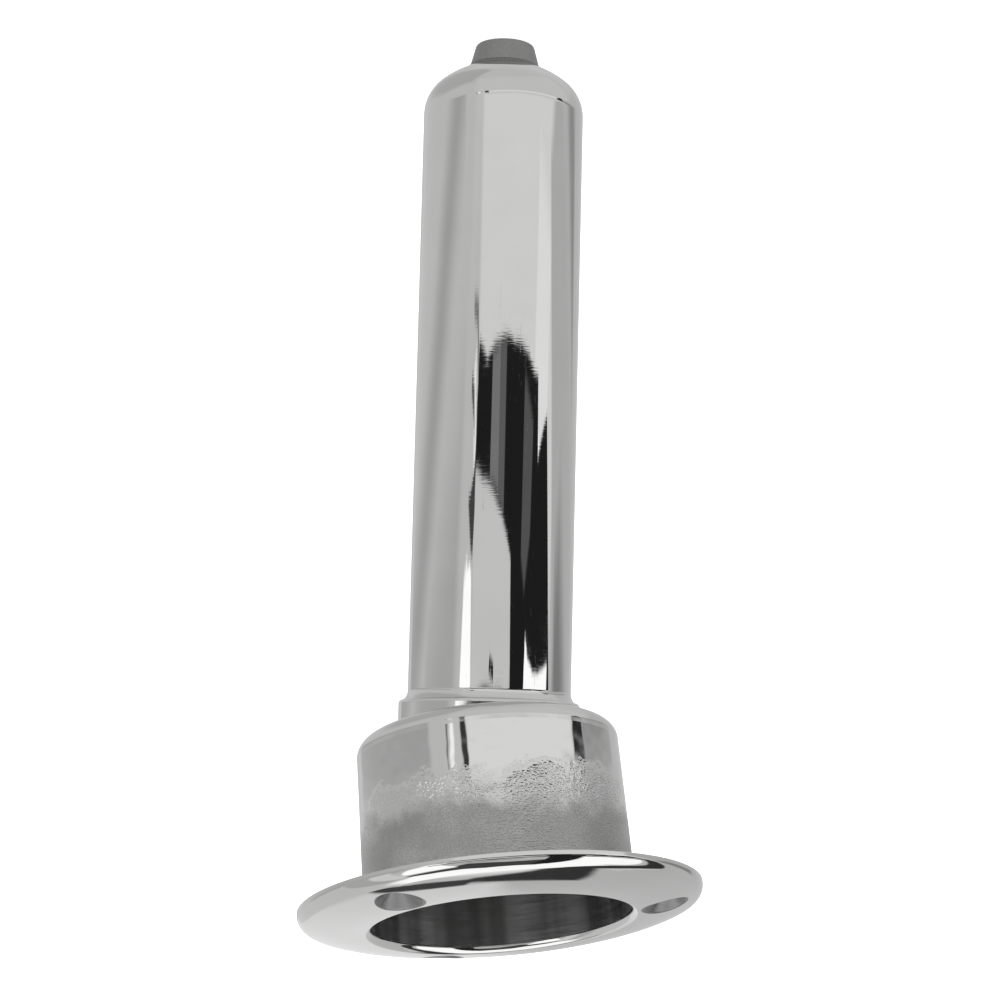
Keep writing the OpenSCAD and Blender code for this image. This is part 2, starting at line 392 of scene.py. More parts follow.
def surface_rows(points):
    """Rows with normals worked out from a grid of points that closes round the z axis."""
    around = np.roll(points[:, :-1], -1, axis=1) - np.roll(points[:, :-1], 1, axis=1)
    around = np.concatenate([around, around[:, :1]], axis=1)
    down = np.gradient(points, axis=0)
    normals = np.cross(around, down)
    normals /= np.linalg.norm(normals, axis=2)[:, :, None]
    return list(zip(points, normals))


def make_flange_weld(bead):
    """A rippled fillet under the flange, in the corner between the recess and the barrel."""
    rows = []
    for share in np.linspace(0, 1, 13):
        radius = BARREL_R + WELD_LEG * (1 - share) - WELD_BITE * share
        height = RECESS_Z - WELD_LEG * share
        crest = 0.35 + 0.1 * np.cos(TURN * WELD_RIPPLES - 5 * share) + 0.08 * np.sin(TURN * 7 + 1)
        bulge = 4 * share * (1 - share) * crest * MM
        points = ring(radius + bulge * 0.7, height - bulge * 0.7, (0, -1))[0]
        rows.append(points)
    shell = Shell()
    face = surface_rows(np.array(rows))
    if face[6][1][0][0] < 0:
        face = [(points, -normals) for points, normals in face]
    shell.rows(face)
    shell.band(flat_row(rows[-1], (0, 0, 1)), flat_row(ring(BARREL_R, RECESS_Z, (0, 1))[0], (0, 0, 1)))
    shell.band(flat_row(ring(BARREL_R, RECESS_Z, (0, 1))[0], (0, 0, 1)), flat_row(rows[0], (0, 0, 1)))
    shell.piece("flange_bead", ROW_AXES, [bead], "flange_weld")


def make_barrel(steel, bore_painted_shade_steel):
    shell = Shell()
    shell.revolve([line((FOOT_R - WALL, SEAM_TOP_Z), (MOUTH_R, RECESS_Z), 12)], slot=1)
    shell.revolve([
        line((MOUTH_R, RECESS_Z), (BARREL_R, RECESS_Z)),
        line((BARREL_R, RECESS_Z), (FOOT_R, SEAM_TOP_Z), 12),
        line((FOOT_R, SEAM_TOP_Z), (FOOT_R - WALL, SEAM_TOP_Z)),
    ])
    shell.piece("barrel", ROW_AXES, [steel, bore_painted_shade_steel], "cup_barrel")


def make_cup_seam(steel):
    """The seam between barrel and floor, ground flush outside and inside."""
    inside = FOOT_R - WALL
    shell = Shell()
    shell.revolve([
        line((inside, SHOULDER_Z), (inside, SEAM_TOP_Z), 2),
        line((inside, SEAM_TOP_Z), (FOOT_R, SEAM_TOP_Z)),
        line((FOOT_R, SEAM_TOP_Z), (FOOT_R, SHOULDER_Z), 2),
        line((FOOT_R, SHOULDER_Z), (inside, SHOULDER_Z)),
    ])
    shell.piece("cup_seam", ROW_AXES, [steel], "cup_seam_weld")


def slanted_cut(radius, height):
    """The row where a cylinder round the tube's axis meets a level plane, in the frame's axes."""
    along = (height - CROSS_Z + radius * np.cos(TURN) * math.sin(TILT)) / math.cos(TILT)
    x = radius * np.cos(TURN) * math.cos(TILT) + along * math.sin(TILT)
    return np.stack([x, radius * np.sin(TURN), np.full(TURN.shape, height)], axis=1)


def make_floor(steel):
    corner_r = FOOT_R - SHOULDER_R
    shell = Shell()
    shell.revolve([
        arc((corner_r, SHOULDER_Z), SHOULDER_R - WALL, -90, 0, hollow=True),
        line((FOOT_R - WALL, SHOULDER_Z), (FOOT_R, SHOULDER_Z)),
        arc((corner_r, SHOULDER_Z), SHOULDER_R, 0, -90, 36),
    ])
    for height, facing in ((FLOOR_Z + WALL, (0, 0, 1)), (FLOOR_Z, (0, 0, -1))):
        rim = slanted_cut(SOCKET_R, height)
        edge = ring(corner_r, height, (0, 1))[0]
        shell.rows([flat_row(rim * (1 - s) + edge * s, facing) for s in np.linspace(0, 1, 5)])
    spoke = np.stack([np.cos(TURN) * math.cos(TILT), np.sin(TURN), -np.cos(TURN) * math.sin(TILT)], axis=1)
    shell.band((slanted_cut(SOCKET_R, FLOOR_Z), -spoke), (slanted_cut(SOCKET_R, FLOOR_Z + WALL), -spoke))
    shell.piece("floor_dish", ROW_AXES, [steel], "cup_floor")


# ---------------------------------------------------------------- rod tube


def floor_level(radius):
    """Heights along the tube where a cylinder of this radius meets the top of the cup's floor."""
    return (FLOOR_Z + WALL - CROSS_Z + radius * np.cos(TURN) * math.sin(TILT)) / math.cos(TILT)


def cut_face(shell, inner, outer):
    """The level face at the top of a tube that is cut off along the cup's floor."""
    facing = (-math.sin(TILT), 0, math.cos(TILT))
    shell.band(flat_row(ring(inner, floor_level(inner), (0, 1))[0], facing),
               flat_row(ring(outer, floor_level(outer), (0, 1))[0], facing))


def make_socket(steel):
    shell = Shell()
    cut_face(shell, TUBE_R, SOCKET_R)
    edge_top = SOCKET_END + SOCKET_EDGE_R
    shell.rows([ring(SOCKET_R, floor_level(SOCKET_R) * (1 - s) + edge_top * s, (1, 0))
                for s in np.linspace(0, 1, 5)])
    shell.revolve([
        arc((SOCKET_R - SOCKET_EDGE_R, edge_top), SOCKET_EDGE_R, 0, -90, 16),
        line((SOCKET_R - SOCKET_EDGE_R, SOCKET_END), (TUBE_R, SOCKET_END)),
    ])
    shell.band(ring(TUBE_R, SOCKET_END, (-1, 0)), ring(TUBE_R, floor_level(TUBE_R), (-1, 0)))
    shell.piece("sleeve", TUBE_AXES, [steel], "tube_socket")


def make_socket_weld(steel):
    """A concave fillet, ground smooth into the tube."""
    bite_r = (FILLET_W ** 2 + FILLET_H ** 2) / (2 * FILLET_W)
    foot = SOCKET_END - FILLET_H
    top_angle = math.degrees(math.atan2(FILLET_H, FILLET_W - bite_r))
    shell = Shell()
    shell.revolve([
        line((TUBE_R, foot), (TUBE_R, SOCKET_END)),
        line((TUBE_R, SOCKET_END), (TUBE_R + FILLET_W, SOCKET_END)),
        arc((TUBE_R + bite_r, foot), bite_r, top_angle, 180, hollow=True),
    ])
    shell.piece("sleeve_fillet", TUBE_AXES, [steel], "socket_weld")


def make_tube(steel, bore_painted_shade_steel):
    shell = Shell()
    cut_face(shell, BORE_R, TUBE_R)
    shares = np.linspace(0, 1, 13)
    shell.rows([ring(TUBE_R, floor_level(TUBE_R) * (1 - s) + TUBE_END * s, (1, 0)) for s in shares])
    shell.revolve([line((TUBE_R, TUBE_END), (BORE_R, TUBE_END))])
    bore = [ring(BORE_R, floor_level(BORE_R) * s + TUBE_END * (1 - s), (-1, 0)) for s in shares]
    shell.rows(bore, slot=1)
    shell.piece("tube", TUBE_AXES, [steel, bore_painted_shade_steel], "rod_tube")


def make_dome_seam(steel):
    root_r = BORE_R - 0.4 * MM
    shell = Shell()
    shell.revolve([
        line((root_r, DOME_TOP), (root_r, TUBE_END)),
        line((root_r, TUBE_END), (TUBE_R, TUBE_END)),
        line((TUBE_R, TUBE_END), (TUBE_R, DOME_TOP)),
        line((TUBE_R, DOME_TOP), (root_r, DOME_TOP)),
    ])
    shell.piece("dome_seam", TUBE_AXES, [steel], "dome_seam_weld")


DOME_ARC_R = cap_radius(TUBE_R, DOME_H, KNUCKLE_R)
DOME_ARC_Z = DOME_TOP - DOME_H + DOME_ARC_R
KNUCKLE_X = TUBE_R - KNUCKLE_R
KNUCKLE_ANGLE = math.degrees(math.atan2(DOME_TOP - DOME_ARC_Z, KNUCKLE_X))


def dome_outside_z(radius):
    return DOME_ARC_Z - math.sqrt(DOME_ARC_R ** 2 - radius ** 2)


def dome_angle(radius, arc_r):
    """Angle on the dome's crown arc at a distance from its axis."""
    return -math.degrees(math.acos(radius / arc_r))


def make_dome(steel):
    inner_r = DOME_ARC_R - WALL
    inner_z = DOME_ARC_Z - math.sqrt(inner_r ** 2 - DRAIN_R ** 2)
    shell = Shell()
    shell.revolve([
        line((DRAIN_R, dome_outside_z(DRAIN_R)), (DRAIN_R, inner_z)),
        arc((0, DOME_ARC_Z), inner_r, dome_angle(DRAIN_R, inner_r), KNUCKLE_ANGLE, hollow=True),
        arc((KNUCKLE_X, DOME_TOP), KNUCKLE_R - WALL, KNUCKLE_ANGLE, 0, hollow=True),
        line((BORE_R, DOME_TOP), (TUBE_R, DOME_TOP)),
        arc((KNUCKLE_X, DOME_TOP), KNUCKLE_R, 0, KNUCKLE_ANGLE, 36),
        arc((0, DOME_ARC_Z), DOME_ARC_R, KNUCKLE_ANGLE, dome_angle(DRAIN_R, DOME_ARC_R), 36),
    ])
    shell.piece("dome", TUBE_AXES, [steel], "end_dome")


BOSS_TIP_Z = dome_outside_z(BOSS_SEAT_R) - BOSS_WELD - BOSS_H


def make_boss(steel):
    """The cast drain boss. Its tapered side runs into a rounded tip."""
    seat_z = BOSS_TIP_Z + BOSS_H
    taper = math.atan2(BOSS_SEAT_R - BOSS_TIP_R, BOSS_H)
    edge_x = BOSS_TIP_R + BOSS_EDGE_R * (math.tan(taper) - 1 / math.cos(taper))
    edge_z = BOSS_TIP_Z + BOSS_EDGE_R
    side_foot = (edge_x + BOSS_EDGE_R * math.cos(taper), edge_z - BOSS_EDGE_R * math.sin(taper))
    shell = Shell()
    shell.revolve([
        line((DRAIN_R, BOSS_TIP_Z), (DRAIN_R, dome_outside_z(DRAIN_R)), 4),
        arc((0, DOME_ARC_Z), DOME_ARC_R, dome_angle(DRAIN_R, DOME_ARC_R),
            dome_angle(BOSS_SEAT_R, DOME_ARC_R), 8, hollow=True),
        line((BOSS_SEAT_R, dome_outside_z(BOSS_SEAT_R)), (BOSS_SEAT_R, seat_z)),
        line((BOSS_SEAT_R, seat_z), side_foot, 6),
        arc((edge_x, edge_z), BOSS_EDGE_R, -math.degrees(taper), -90, 12),
        line((edge_x, BOSS_TIP_Z), (DRAIN_R, BOSS_TIP_Z), 2),
    ])
    shell.piece("boss", TUBE_AXES, [steel], "drain_boss")


def make_boss_weld(bead):
    """A thin bead round the boss, with its fish-scale ripples. Its dark greys are painted shade at the foot
    of the boss.
    """
    foot_r = BOSS_SEAT_R + BOSS_WELD
    seat = dome_outside_z(BOSS_SEAT_R)
    rows = []
    for share in np.linspace(0, 1, 9):
        ripple = 1 + 0.35 * np.cos(TURN * BOSS_WELD_RIPPLES + 4 * share) + 0.25 * np.sin(TURN * 5)
        bulge = 4 * share * (1 - share) * BOSS_WELD_RISE * ripple
        radius = foot_r + (BOSS_SEAT_R - foot_r) * share
        height = dome_outside_z(foot_r) * (1 - share) + (seat - BOSS_WELD) * share
        rows.append(ring(radius + bulge, height - bulge, (1, 0))[0])
    face = surface_rows(np.array(rows))
    if face[4][1][0][0] < 0:
        face = [(points, -normals) for points, normals in face]
    shell = Shell()
    shell.rows(face)
    shell.revolve([
        line((BOSS_SEAT_R, seat - BOSS_WELD), (BOSS_SEAT_R, seat)),
        line((BOSS_SEAT_R, seat), (foot_r, dome_outside_z(foot_r))),
    ])
    shell.piece("boss_bead", TUBE_AXES, [bead], "boss_weld")


def dome_inside_r(depth):
    """Inside radius of the dome at a depth below its open edge."""
    return KNUCKLE_X + np.sqrt((KNUCKLE_R - WALL) ** 2 - depth ** 2)


def across(radius):
    """A row round the pin's axis at one end, on the dome's inner wall."""
    x = radius * np.cos(TURN)
    z = DOME_TOP - PIN_DEPTH + radius * np.sin(TURN)
    y = np.sqrt(dome_inside_r(DOME_TOP - z) ** 2 - x ** 2)
    spoke = np.stack([np.cos(TURN), np.zeros(TURN.shape), np.sin(TURN)], axis=1)
    return np.stack([x, y, z], axis=1), spoke


def mirrored(row):
    """The same row at the pin's other end."""
    flip = np.array([1, -1, 1])
    return row[0] * flip, row[1] * flip


def make_pin(steel):
    """The cross pin, with its ends cut to the dome's inner wall."""
    shell = Shell()
    end = across(PIN_R)
    shell.rows([end, mirrored(end)])
    for side in (end, mirrored(end)):
        middle = np.tile(side[0][:-1].mean(axis=0), (len(TURN), 1))
        facing = (0, math.copysign(1, side[0][0, 1]), 0)
        shell.rows([flat_row(side[0] * (1 - s) + middle * s, facing) for s in np.linspace(0, 1, 3)])
    shell.piece("pin", TUBE_AXES, [steel], "gimbal_pin")


def make_pin_tacks(bead):
    """A low collar of weld at each end of the pin."""
    shell = Shell()
    wall = across(PIN_R + TACK_T)
    seat = across(PIN_R)
    rows = []
    for share in np.linspace(0, 1, 9):
        radius = PIN_R + TACK_T * math.cos(share * math.pi / 2)
        points, spoke = across(radius)
        points = points - np.array([0, 1, 0]) * TACK_L * math.sin(share * math.pi / 2)
        facing = spoke * math.cos(share * math.pi / 2) - np.array([0, 1, 0]) * math.sin(share * math.pi / 2)
        rows.append((points, facing))
    inner = (rows[-1][0], -seat[1])
    hole = [inner, (seat[0], -seat[1])]
    back = [flat_row(seat[0], (0, 1, 0)), flat_row(wall[0], (0, 1, 0))]
    for part in (rows, hole, back):
        shell.rows(part)
        shell.rows([mirrored(row) for row in part])
    shell.piece("pin_tacks", TUBE_AXES, [bead], "pin_tack_welds")


# ---------------------------------------------------------------- materials


class Nodes:
    """Short calls for building a material's node tree."""

    def __init__(self, name, base, roughness, on_tube=False):
        self.material = bpy.data.materials.new(name)
        self.material.use_nodes = True
        self.tree = self.material.node_tree
        self.shader = self.tree.nodes["Principled BSDF"]
        self.shader.inputs["Metallic"].default_value = 1.0
        self.shader.inputs["Base Color"].default_value = (*base, 1)
        self.shader.inputs["Roughness"].default_value = roughness
        self.place = self.tree.nodes.new("ShaderNodeTexCoord").outputs["Object"]
        if on_tube:
            axes = self.tree.nodes.new("ShaderNodeMapping")
            axes.vector_type = "TEXTURE"
            axes.inputs["Location"].default_value = (0, 0, CROSS_Z)
            axes.inputs["Rotation"].default_value = (0, TILT, 0)
            self.link(self.place, axes.inputs["Vector"])
            self.place = axes.outputs["Vector"]

    def link(self, source, target):
        self.tree.links.new(source, target)

    def stretched(self, scale):
        """Object coordinates multiplied by a scale."""
        node = self.tree.nodes.new("ShaderNodeMapping")
        node.inputs["Scale"].default_value = scale
        self.link(self.place, node.inputs["Vector"])
        return node.outputs["Vector"]

    def noise(self, scale, detail=2.0, rough=0.5):
        """Noise from 0 to 1. The scale is in features per metre along each axis."""
        node = self.tree.nodes.new("ShaderNodeTexNoise")
        node.inputs["Scale"].default_value = 1.0
        node.inputs["Detail"].default_value = detail
        node.inputs["Roughness"].default_value = rough
        self.link(self.stretched(scale), node.inputs["Vector"])
        return node.outputs["Fac"]

    def ramp(self, value, low, high, out_low=0.0, out_high=1.0):
        """Maps a value from one range to another, smoothly and clamped."""
        node = self.tree.nodes.new("ShaderNodeMapRange")
        node.interpolation_type = "SMOOTHSTEP"
        node.inputs["From Min"].default_value = low
        node.inputs["From Max"].default_value = high
        node.inputs["To Min"].default_value = out_low
        node.inputs["To Max"].default_value = out_high
        self.link(value, node.inputs["Value"])
        return node.outputs["Result"]

    def math(self, operation, first, second):
        node = self.tree.nodes.new("ShaderNodeMath")
        node.operation = operation
        for socket, value in zip(node.inputs, (first, second)):
            if isinstance(value, (int, float)):
                socket.default_value = value
            else:
                self.link(value, socket)
        return node.outputs["Value"]

    def axis(self, name):
        node = self.tree.nodes.new("ShaderNodeSeparateXYZ")
        self.link(self.place, node.inputs["Vector"])
        return node.outputs[name]

    def tint(self, value, dark, light):
        """Base colour between two greys."""
        node = self.tree.nodes.new("ShaderNodeMix")
        node.data_type = "RGBA"
        node.inputs["A"].default_value = (*dark, 1)
        node.inputs["B"].default_value = (*light, 1)
        self.link(value, node.inputs["Factor"])
        self.link(node.outputs["Result"], self.shader.inputs["Base Color"])

    def rough(self, value):
        self.link(value, self.shader.inputs["Roughness"])

    def bump(self, height, depth, strength=None):
        """Adds relief. depth is how far the height's whole range stands up."""
        node = self.tree.nodes.new("ShaderNodeBump")
        node.inputs["Distance"].default_value = depth
        if strength is not None:
            self.link(strength, node.inputs["Strength"])
        self.link(height, node.inputs["Height"])
        normal = self.shader.inputs["Normal"]
        if normal.is_linked:
            self.link(normal.links[0].from_socket, node.inputs["Normal"])
        self.link(node.outputs["Normal"], normal)


STEEL = (0.62, 0.62, 0.615)


def mirror_tube_steel():
    """Mirror polish with fine lines round the tube, slow waves from buffing, and faint scratches."""
    n = Nodes("tube_steel", STEEL, 0.05, on_tube=True)
    waves = n.noise((30, 30, 14), 1.0)
    lines = n.noise((300, 300, 2000), 1.0)
    scratches = n.ramp(n.noise((1400, 1400, 40), 3.0, 0.7), 0.66, 0.72)
    haze = n.ramp(n.noise((90, 90, 40), 5.0, 0.7), 0.5, 0.75, 0, 0.05)
    worn = n.math("ADD", haze, n.ramp(scratches, 0, 1, 0, 0.12))
    n.rough(n.math("ADD", n.ramp(lines, 0.3, 0.75, 0.01, 0.035), worn))
    n.tint(n.noise((60, 60, 60), 3.0), (0.59, 0.59, 0.585), (0.65, 0.65, 0.645))
    n.bump(waves, 0.08 * MM)
    along = n.axis("Z")
    away_from_dome = n.ramp(along, -190 * MM, -160 * MM, 0.15)
    away_from_sleeve = n.ramp(along, -80 * MM, -40 * MM, 1, 0.1)
    n.bump(lines, 0.0016 * MM, n.math("MULTIPLY", away_from_dome, away_from_sleeve))
    return n.material


def mirror_steel(name, grain=1.0):
    """Mirror polish on the flange and the cup's shoulder."""
    n = Nodes(name, STEEL, 0.05)
    haze = n.noise((90, 90, 90), 4.0, 0.6)
    n.rough(n.ramp(haze, 0.35, 0.7, 0.03, 0.08))
    n.tint(n.noise((45, 45, 45), 3.0), (0.58, 0.58, 0.575), (0.65, 0.65, 0.645))
    n.bump(n.noise((40, 40, 40), 1.0), 0.06 * MM * grain)
    n.bump(n.noise((900, 900, 900), 2.0), 0.0015 * MM)
    return n.material


def cast_cup_steel():
    """Cast skin, polished away towards the shoulder. The polish leaves the deepest pits at its edge."""
    n = Nodes("cup_cast_steel", STEEL, 0.3)
    ragged = n.math("ADD", n.axis("Z"), n.ramp(n.noise((90, 90, 90), 4.0, 0.6), 0.2, 0.8, -4 * MM, 4 * MM))
    cast = n.ramp(ragged, -25 * MM, -16 * MM)
    pits = n.noise((1000, 1000, 1900), 1.0)
    grain = n.noise((2600, 2600, 2600), 2.0, 0.6)
    patches = n.noise((45, 45, 60), 3.0, 0.6)
    pitted = n.math("MULTIPLY", n.ramp(ragged, -31 * MM, -26 * MM), n.ramp(patches, 0.35, 0.6, 0.45, 1.0))
    n.rough(n.ramp(cast, 0, 1, 0.05, 0.33))
    skin = n.math("ADD", n.ramp(grain, 0.3, 0.7, 0, 0.4), n.ramp(patches, 0.3, 0.7, 0, 0.4))
    n.tint(n.math("MULTIPLY", cast, n.math("SUBTRACT", 1.2, skin)), STEEL, (0.34, 0.34, 0.335))
    n.bump(n.noise((150, 150, 110), 1.0), 0.09 * MM)
    n.bump(n.ramp(ragged, -32 * MM, -21 * MM, 1, 0), 0.5 * MM, n.ramp(patches, 0.42, 0.55))
    n.bump(pits, 0.22 * MM, pitted)
    n.bump(grain, 0.05 * MM, cast)
    return n.material


def brushed_bore_painted_shade_steel(name, on_tube=False):
    """Turned inside surface, dull, with fine lines round it. Its dark greys are painted shade inside the
    bore.
    """
    n = Nodes(name, (0.3, 0.3, 0.3), 0.4, on_tube)
    lines = n.noise((60, 60, 2200), 3.0, 0.6)
    n.rough(n.ramp(lines, 0.3, 0.7, 0.34, 0.46))
    streaks = n.noise((70, 70, 3), 2.0, 0.6)
    # Painted shade: the base colour stays between two dark greys inside the bore, lighter along lines and
    # streaks.
    n.tint(n.math("MULTIPLY", n.ramp(lines, 0.2, 0.8, 0.7, 1.0), n.ramp(streaks, 0.42, 0.68)),
           (0.2, 0.2, 0.2), (0.56, 0.56, 0.56))
    n.bump(lines, 0.003 * MM)
    return n.material


def matte_steel(name, dark, light, roughness, grain, depth):
    """Cast or drilled steel with an even grain."""
    n = Nodes(name, light, roughness)
    skin = n.noise((grain, grain, grain), 4.0, 0.7)
    n.tint(skin, dark, light)
    n.rough(n.ramp(skin, 0.3, 0.7, roughness - 0.06, roughness + 0.06))
    n.bump(skin, depth)
    return n.material


# ---------------------------------------------------------------- light tent


def glow(tone):
    """Radiance of a panel that polished steel reflects as this grey, from 0 to 255."""
    share = tone / 255
    return share ** 2.2 / STEEL[0]


# Each panel of the tent: its corners as (azimuth, elevation) in degrees, the grey that it gives in the
# steel, and how soft its edge is in degrees. A later panel covers an earlier one.
PANELS = [
    # walls of the tent
    ([(-1, -90), (361, -90), (361, 90), (-1, 90)], 178, 1),
    ([(100, -60), (240, -60), (240, -8), (100, -8)], 184, 10),
    ([(115, -12), (229, -12), (229, 6), (115, 6)], 200, 5),
    ([(240, -88), (361, -88), (361, -42), (300, -38), (250, -52)], 160, 14),
    ([(128, -7), (150, -6), (150, 3), (128, 3)], 214, 3),
    ([(-1, -60), (30, -60), (92, -30), (112, -8), (112, 10), (88, 52), (24, 52), (-1, 40)], 168, 8),
    ([(-1, 0), (24, 0), (24, 46), (-1, 46)], 196, 3),
    ([(250, -5), (300, -9), (330, -4), (330, 14), (262, 12), (256, 6)], 158, 12),
    ([(279, 4), (297, 4), (300, 54), (282, 54)], 160, 5),
    ([(297, 4), (361, 4), (361, 60), (300, 60)], 182, 5),
    ([(265, 5), (279, 5), (281, 52), (265, 50)], 196, 3),
    ([(60, -13), (60, 8), (104, 6.5), (111, 2), (133, -9), (120, -13)], 164, 2),
    ([(70, -3), (70, 8), (104, 5), (106, 0), (98, -4)], 118, 8),
    ([(46, 47), (60, 50), (72, 48.5), (82, 43), (88, 35), (92, 38), (84, 48), (72, 53), (58, 54),
      (46, 52)], 185, 1.5),
    # white top
    ([(-1, 60), (361, 60), (361, 90), (-1, 90)], 250, 8),
    ([(270, 55), (285, 60), (300, 65), (318, 66), (338, 64), (352, 59), (361, 52), (361, 90),
      (240, 90)], 252, 2),
    # white softboxes
    ([(108, 48), (111, 38), (118, 15), (122, 4), (156, 2), (155, 62), (110, 66)], 250, 1.5),
    ([(227, 41), (229, 33), (233, 20), (238, 5), (239.3, 3), (243.5, 2.8), (246, 5), (249, 8), (255, 12),
      (260, 25), (263.5, 37), (262, 42), (245, 43)], 253, 1.2),
    # grey space beyond the tent's opening, behind the camera
    ([(178, 10), (178, 44), (229, 40), (238, 8), (200, 10)], 172, 3),
    ([(190, 16), (224, 22), (222, 29), (192, 28)], 155, 4),
    ([(200, 13), (205, 11), (211, 19), (205, 20)], 96, 2),
    ([(177, 38), (188, 42), (200, 42), (210, 36), (222, 29), (228, 34), (232, 46), (268, 48), (273, 55),
      (262, 60), (236, 64), (222, 74), (160, 74), (160, 38)], 64, 3),
    # dark stands and arch
    ([(157, 11), (176, 11), (177, 66), (157, 68)], 36, 1),
    ([(18, 50), (26, 46), (33, 41), (41, 49), (48, 54), (60, 55), (74, 53.5), (83, 49), (89, 41), (92, 30),
      (98, 18), (107, 8), (119, 4), (112, 20), (106, 34), (103, 46), (97, 58), (90, 64), (76, 67), (58, 67),
      (44, 63), (32, 58), (18, 55)], 52, 2),
    ([(-1, 46), (3, 45), (19, 46), (19, 54), (8, 53), (-1, 49)], 62, 1),
    # light band above the table's dark edge
    ([(176.5, 9), (190, 8), (210, 5), (230.5, 1.8), (231.5, 14), (178, 16.5)], 187, 0.5),
    # dark rim above that band
    ([(112, 6.6), (130, 10.9), (143, 13.1), (156, 14.5), (172, 15.2), (182, 15.2), (200, 14.2), (220, 11.6),
      (243, 8.2), (243, 12), (210, 17), (180, 19.5), (150, 18), (112, 10)], 34, 0.3),
    # the table's dark edge
    ([(112.5, 5.8), (128, -0.6), (133, 0.8), (141.5, 3.5), (144, 1), (150, 1.7), (165, 2.4), (180, 2.7),
      (200, 1.7), (217, 0.3), (228, -2.4), (230, -0.4), (230, 1.8), (220, 4.1), (200, 7.5), (179, 10.3),
      (175.5, 15.2), (156, 14.4), (143, 13), (118, 7.8)], 33, 0.3),
    ([(150, 3.6), (164, 3.2), (164, 9.6), (158, 10.4), (151, 7.6)], 80, 1),
    ([(190.5, 2.4), (200, 1.9), (200, 7.3), (190.5, 8.6)], 88, 0.6),
    ([(199, 1.9), (209.5, 1.2), (210.3, 5.6), (199, 7.3)], 110, 0.8),
    # thin white strips
    ([(117, 5.9), (125, 7.9), (133, 9.7), (141, 11.1), (150, 11.9), (154.5, 11.6), (155.6, 13.8),
      (143, 12.8), (130, 10.3), (117, 6.9)], 253, 0.2),
    ([(231.6, 9.6), (233.6, 4.8), (236, 3.9), (240.8, 3.3), (244, 5.4), (246.5, 7.6)], 253, 0.3),
    ([(230.5, 1.2), (233, 1.4), (235.5, -2.5), (232, -3)], 222, 0.4),
    # dark slivers beside them
    ([(229.5, 0.5), (230.4, 3.4), (232.5, 4.5), (235.2, 3.5), (239.5, 0.9), (236, 1.4),
      (231.6, 1.5)], 64, 0.4),
    ([(229, -0.6), (231, -3.4), (236, -5), (236.4, -5.8), (230.6, -4.4), (228.4, -1.6)], 110, 0.5),
    ([(232.4, 0.4), (234.6, -1), (237.6, -2.4), (237.6, -3.2), (234, -2)], 84, 0.4),
    # a slot in the table's light edge
    ([(199.8, 13.9), (199.9, 13.2), (205.8, 12.3), (206.2, 12.9)], 26, 0.2),
    # the far floor, which the cup's polished side and the end dome see
    ([(256, -14), (350, -14), (350, -20), (256, -20)], 152, 6),
    ([(125, -15), (221, -15), (221, -18.5), (125, -18.5)], 209, 1.5),
    ([(70, -15), (112, -15), (112, -19), (80, -19)], 132, 3),
    ([(112, -15), (124.5, -15), (122, -18), (119, -20), (114, -20)], 34, 0.6),
    ([(221.5, -15), (226.8, -15), (227.5, -20), (222.5, -20)], 50, 0.5),
    ([(233, -15.3), (236.5, -15.3), (237.5, -19), (235, -19)], 238, 0.5),
    ([(238, -15.3), (239.2, -15.3), (240.2, -19), (239, -19)], 90, 0.4),
]


def smooth(share):
    """Eases a share from 0 to 1, flat at both ends."""
    share = np.clip(share, 0, 1)
    return share * share * (3 - 2 * share)


def inside_depth(corners, azimuth, elevation):
    """How far inside a polygon each direction is, in degrees, and negative outside."""
    points = np.array(corners, float)
    distance = np.full(azimuth.shape, 1e9)
    inside = np.zeros(azimuth.shape, bool)
    for (ax, ay), (bx, by) in zip(points, np.roll(points, -1, axis=0)):
        length = np.hypot(bx - ax, by - ay)
        along = ((azimuth - ax) * (bx - ax) + (elevation - ay) * (by - ay)) / length ** 2
        run = np.clip(along, 0, 1)
        off_x = azimuth - ax - run * (bx - ax)
        off_y = elevation - ay - run * (by - ay)
        distance = np.minimum(distance, np.hypot(off_x, off_y))
        if ay != by:
            crossing = (ay > elevation) != (by > elevation)
            inside ^= crossing & (azimuth < (bx - ax) * (elevation - ay) / (by - ay) + ax)
    return np.where(inside, distance, -distance)


def tent_light(azimuth, elevation):
    """Radiance of the tent in each direction. A panel is tried a turn either way, so that it joins up."""
    light = np.zeros(azimuth.shape)
    for corners, tone, soft in PANELS:
        depths = [inside_depth(corners, azimuth + turn, elevation) for turn in (-360, 0, 360)]
        cover = smooth(np.max(depths, axis=0) / soft + 0.5)
        light = light * (1 - cover) + glow(tone) * cover
    return light


def tent_points(azimuth, elevation):
    """Points of the tent: a sphere round its centre, which widens into a far floor low down."""
    a = np.radians(azimuth)
    e = np.radians(elevation)
    spread = smooth((TENT_FOOT_START - elevation) / TENT_FOOT_SPREAD)
    reach = TENT_R + (TENT_FOOT_R - TENT_R) * spread
    return np.stack([np.cos(e) * np.cos(a), np.cos(e) * np.sin(a), np.sin(e)], axis=2) * reach[:, :, None]


def glow_material():
    """Emission that follows the mesh's glow attribute."""
    material = bpy.data.materials.new("tent")
    material.use_nodes = True
    tree = material.node_tree
    tree.nodes.remove(tree.nodes["Principled BSDF"])
    emission = tree.nodes.new("ShaderNodeEmission")
    strength = tree.nodes.new("ShaderNodeAttribute")
    strength.attribute_name = "glow"
    tree.links.new(strength.outputs["Fac"], emission.inputs["Strength"])
    tree.links.new(emission.outputs["Emission"], tree.nodes["Material Output"].inputs["Surface"])
    material.cycles.emission_sampling = "NONE"
    return material


